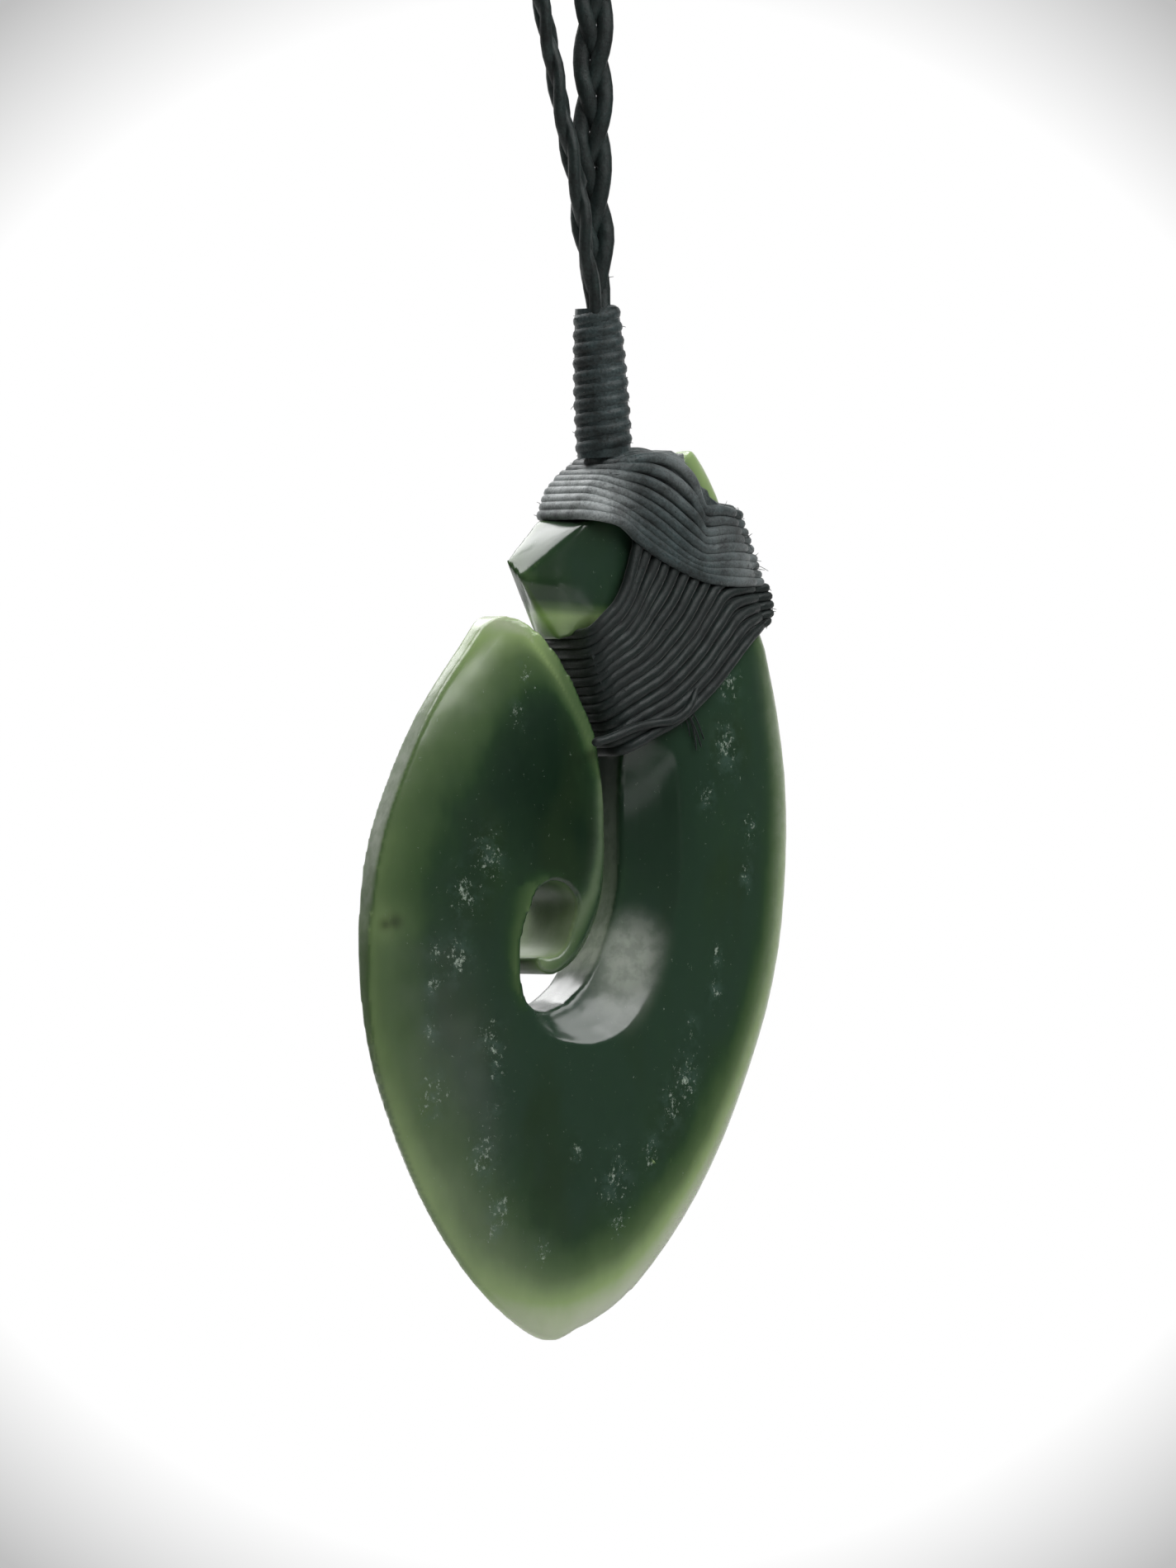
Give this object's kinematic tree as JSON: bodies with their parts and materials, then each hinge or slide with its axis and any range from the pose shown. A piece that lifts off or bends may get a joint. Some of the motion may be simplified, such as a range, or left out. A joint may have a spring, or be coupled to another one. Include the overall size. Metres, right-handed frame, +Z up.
{
  "type": "hook pendant necklace",
  "caption": "Carved stone fish-hook pendant with a bound head, a knobbed barb and a curled point, hung on a plaited neck cord.",
  "frame": {"origin": "inside of the top of the neck loop, where a peg or the back of a neck carries it", "axes": "+Z up along the hanging loop, X across the flat of the stone with the curled point at -X, the carved face towards -Y"},
  "size_m": [0.0977, 0.0086, 0.3946],
  "materials": {
    "nephrite": "polished",
    "thread": "waxed",
    "plait": "waxed"
  },
  "bodies": {
    "root": {"hook": "nephrite", "lower_lashing": "thread", "upper_lashing": "thread", "whipping": "thread", "neck_cord": "plait"}
  },
  "joints": []
}
